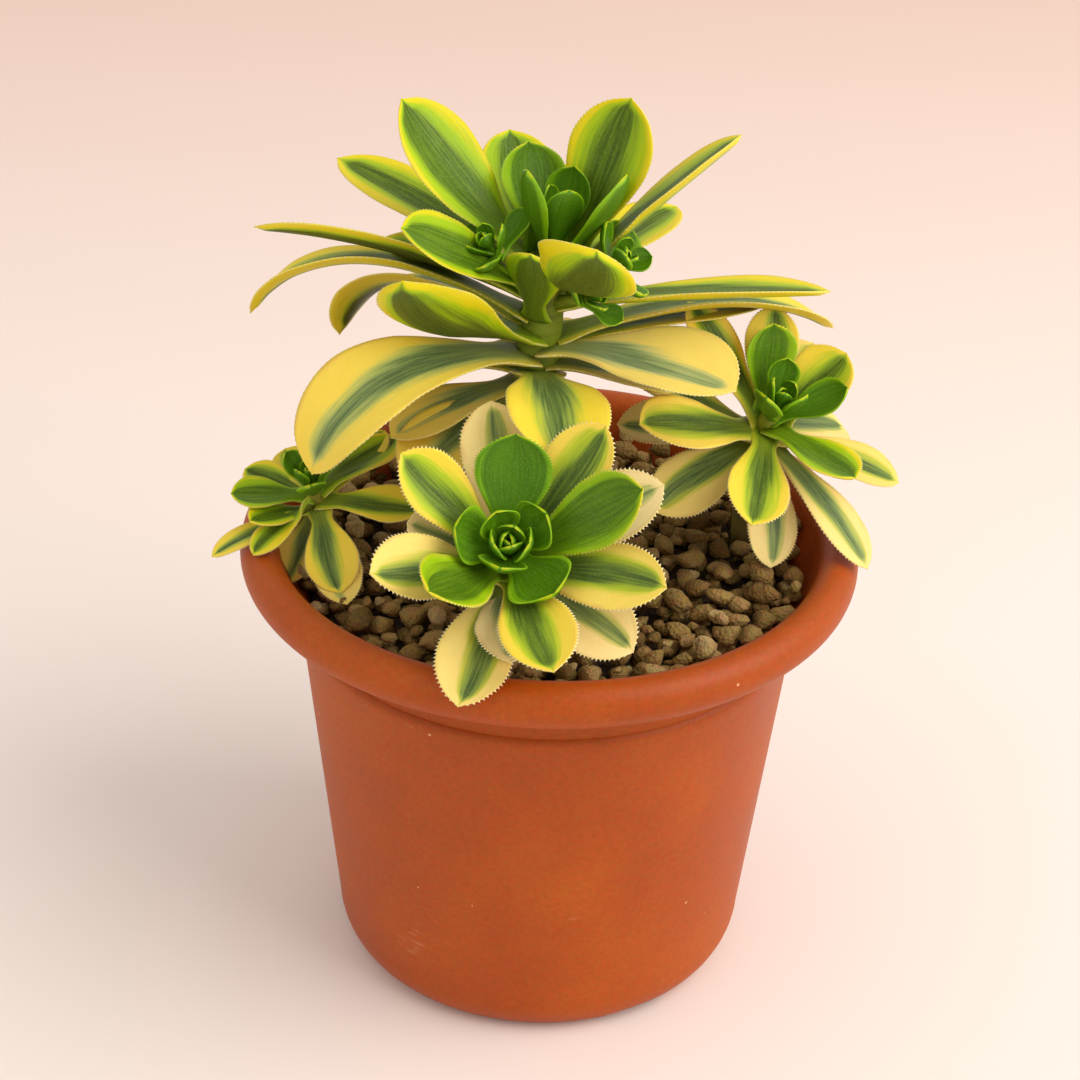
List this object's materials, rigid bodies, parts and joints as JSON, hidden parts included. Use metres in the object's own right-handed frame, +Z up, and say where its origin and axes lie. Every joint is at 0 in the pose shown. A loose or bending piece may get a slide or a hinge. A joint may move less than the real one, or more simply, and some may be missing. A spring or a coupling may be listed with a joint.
{
  "type": "potted succulent",
  "caption": "Variegated rosette succulent with a tall crown and low side rosettes, growing in coarse grit in a round rolled-rim pot.",
  "frame": {"origin": "centre of the whole plant and pot's footprint box, on the surface that the pot stands on", "axes": "+Z up along the axis of the pot; -Y towards the side that the front rosette leans to; +X to the right seen from that side"},
  "size_m": [0.142, 0.1376, 0.1907],
  "materials": {
    "pot": "satin",
    "grit": "matte",
    "stem": "satin",
    "leaf": "satin",
    "heart": "satin"
  },
  "bodies": {
    "root": {"pot": "pot", "grit": "grit", "crown_stem": "stem", "crown_heart": "heart", "crown_leaf_01": "leaf", "crown_leaf_02": "leaf", "crown_leaf_03": "leaf", "crown_leaf_04": "leaf", "crown_leaf_05": "leaf", "crown_leaf_06": "leaf", "crown_leaf_07": "leaf", "crown_leaf_08": "leaf", "crown_leaf_09": "leaf", "crown_leaf_10": "leaf", "crown_leaf_11": "leaf", "crown_leaf_12": "leaf", "crown_leaf_13": "leaf", "crown_leaf_14": "leaf", "crown_leaf_15": "leaf", "crown_leaf_16": "leaf", "crown_leaf_17": "leaf", "crown_leaf_18": "leaf", "crown_leaf_19": "leaf", "crown_leaf_20": "leaf", "crown_leaf_21": "leaf", "crown_leaf_22": "leaf", "front_stem": "stem", "front_heart": "heart", "front_leaf_01": "leaf", "front_leaf_02": "leaf", "front_leaf_03": "leaf", "front_leaf_04": "leaf", "front_leaf_05": "leaf", "front_leaf_06": "leaf", "front_leaf_07": "leaf", "front_leaf_08": "leaf", "front_leaf_09": "leaf", "front_leaf_10": "leaf", "front_leaf_11": "leaf", "front_leaf_12": "leaf", "right_stem": "stem", "right_heart": "heart", "right_leaf_01": "leaf", "right_leaf_02": "leaf", "right_leaf_03": "leaf", "right_leaf_04": "leaf", "right_leaf_05": "leaf", "right_leaf_06": "leaf", "right_leaf_07": "leaf", "right_leaf_08": "leaf", "right_leaf_09": "leaf", "right_leaf_10": "leaf", "left_stem": "stem", "left_heart": "heart", "left_leaf_01": "leaf", "left_leaf_02": "leaf", "left_leaf_03": "leaf", "left_leaf_04": "leaf", "left_leaf_05": "leaf", "left_leaf_06": "leaf"}
  },
  "joints": []
}
